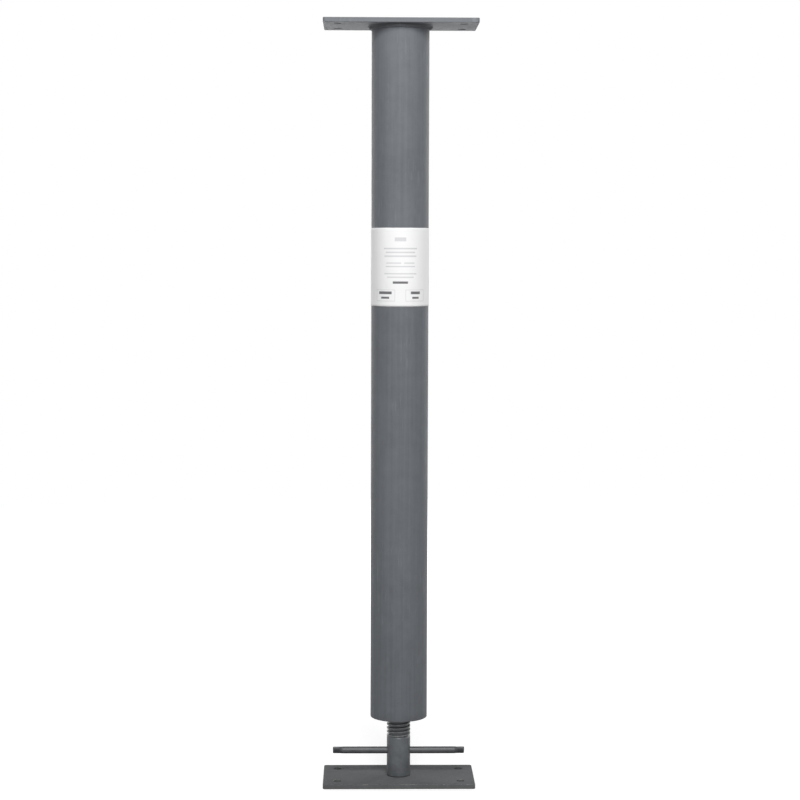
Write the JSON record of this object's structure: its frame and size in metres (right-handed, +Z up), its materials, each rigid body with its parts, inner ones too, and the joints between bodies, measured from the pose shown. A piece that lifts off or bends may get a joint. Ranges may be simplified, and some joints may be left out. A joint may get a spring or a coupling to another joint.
{
  "type": "adjustable steel column",
  "caption": "Round steel tube column with a welded rectangular bearing plate on top, standing on a jack screw with a sliding turning bar and a rectangular base plate.",
  "frame": {"origin": "centre of the base plate's underside, on the column's axis", "axes": "+Z up along the column's axis, +X along the long side of both plates, -Y towards the label"},
  "size_m": [0.2032, 0.1016, 1.016],
  "materials": {
    "grey_enamel": "grey shop enamel, satin",
    "dark_steel": "dark oiled steel",
    "label_paper": "matt printed label"
  },
  "bodies": {
    "base": {"base_plate": "grey_enamel"},
    "screw": {"adjusting_screw": "dark_steel"},
    "bar": {"turning_bar": "dark_steel"},
    "column": {"column_tube": "grey_enamel", "end_disc": "grey_enamel", "end_weld": "grey_enamel", "screw_nut": "dark_steel", "nut_welds": "dark_steel", "top_plate": "grey_enamel", "top_weld": "grey_enamel", "label": "label_paper"}
  },
  "joints": [
    {"name": "screw_turn", "type": "hinge", "parent": "base", "child": "screw", "pos_m": [0, 0, 0.00635], "axis": [0, 0, 1], "range_deg": [-4500, 2700]},
    {"name": "column_lift", "type": "slide", "parent": "base", "child": "column", "axis": [0, 0, 1], "range_m": [-0.0381, 0.0635]},
    {"name": "bar_slide", "type": "slide", "parent": "screw", "child": "bar", "axis": [1, 0, 0], "range_m": [-0.058, 0.058]}
  ],
  "couplings": [
    {"joint": "screw_turn", "follows": "column_lift", "rad_per_m": -1236.8}
  ]
}
